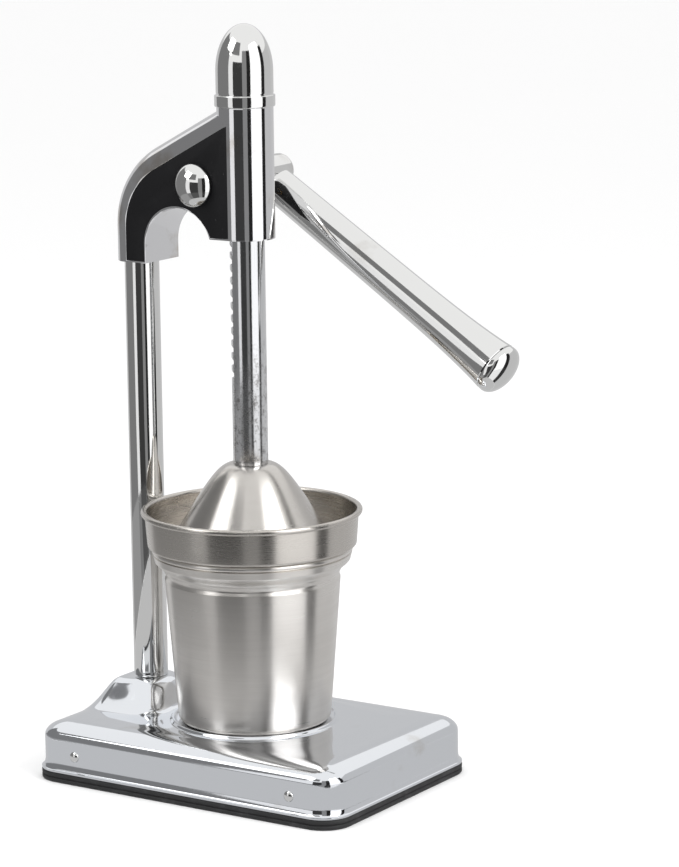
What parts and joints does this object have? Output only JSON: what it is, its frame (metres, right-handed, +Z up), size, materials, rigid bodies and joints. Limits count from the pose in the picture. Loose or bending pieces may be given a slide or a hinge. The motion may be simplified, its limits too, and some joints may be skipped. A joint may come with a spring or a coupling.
{
  "type": "hand lever citrus press",
  "caption": "Chromed citrus press: base, column and arched head; a lever turns a pinion that drives a toothed bar and cone into a strainer on a steel cup.",
  "frame": {"origin": "middle of the footprint, on the underside of the rubber mat, where the press stands on the table", "axes": "+X from the column towards the cup, +Y towards the lever side, +Z up along the column"},
  "size_m": [0.2199, 0.13, 0.38],
  "materials": {
    "chrome": "polished chrome plate",
    "black_rubber": "matt moulded rubber",
    "black_panel": "satin black paint",
    "brushed": "spun and brushed stainless steel",
    "bright_steel": "turned bright steel",
    "plain_steel": "plain machined steel",
    "brass": "turned bronze bearing"
  },
  "bodies": {
    "frame": {"base_shell": "chrome", "base_floor_plate": "plain_steel", "base_rivets": "chrome", "rubber_mat": "black_rubber", "column_tube": "chrome", "column_plug": "plain_steel", "column_bolt": "plain_steel", "column_washer": "plain_steel", "head_casting": "chrome", "near_side_panel": "black_panel", "far_side_panel": "black_panel", "column_grub_screw": "bright_steel", "top_cap": "chrome", "near_axle_bush": "brass", "far_axle_bush": "brass"},
    "lever": {"axle": "bright_steel", "pinion": "plain_steel", "pinion_pin": "plain_steel", "dome_nut": "chrome", "dome_nut_washer": "bright_steel", "lever_rod": "bright_steel", "lever_grip": "chrome", "grip_end_cap": "chrome", "grip_root_collar": "bright_steel"},
    "press": {"rack_bar": "bright_steel", "press_cone": "brushed", "cone_washer": "bright_steel", "cone_screw": "bright_steel"},
    "cup": {"juice_cup": "brushed"},
    "strainer": {"strainer_bowl": "brushed", "reamer_cone": "brushed"}
  },
  "joints": [
    {"name": "lever_turn", "type": "hinge", "parent": "frame", "child": "lever", "pos_m": [-0.0188, 0, 0.301], "axis": [0, -1, 0], "range_deg": [0, 195]},
    {"name": "rack_slide", "type": "slide", "parent": "frame", "child": "press", "axis": [0, 0, 1], "range_m": [0, 0.0511]},
    {"name": "cup_turn", "type": "hinge", "parent": "frame", "child": "cup", "pos_m": [0.0024, 0, 0.0303], "axis": [0, 0, 1], "continuous": true},
    {"name": "strainer_turn", "type": "hinge", "parent": "cup", "child": "strainer", "pos_m": [0.0024, 0, 0.1194], "axis": [0, 0, 1], "continuous": true}
  ],
  "couplings": [
    {"joint": "rack_slide", "follows": "lever_turn", "m_per_rad": 0.015}
  ]
}
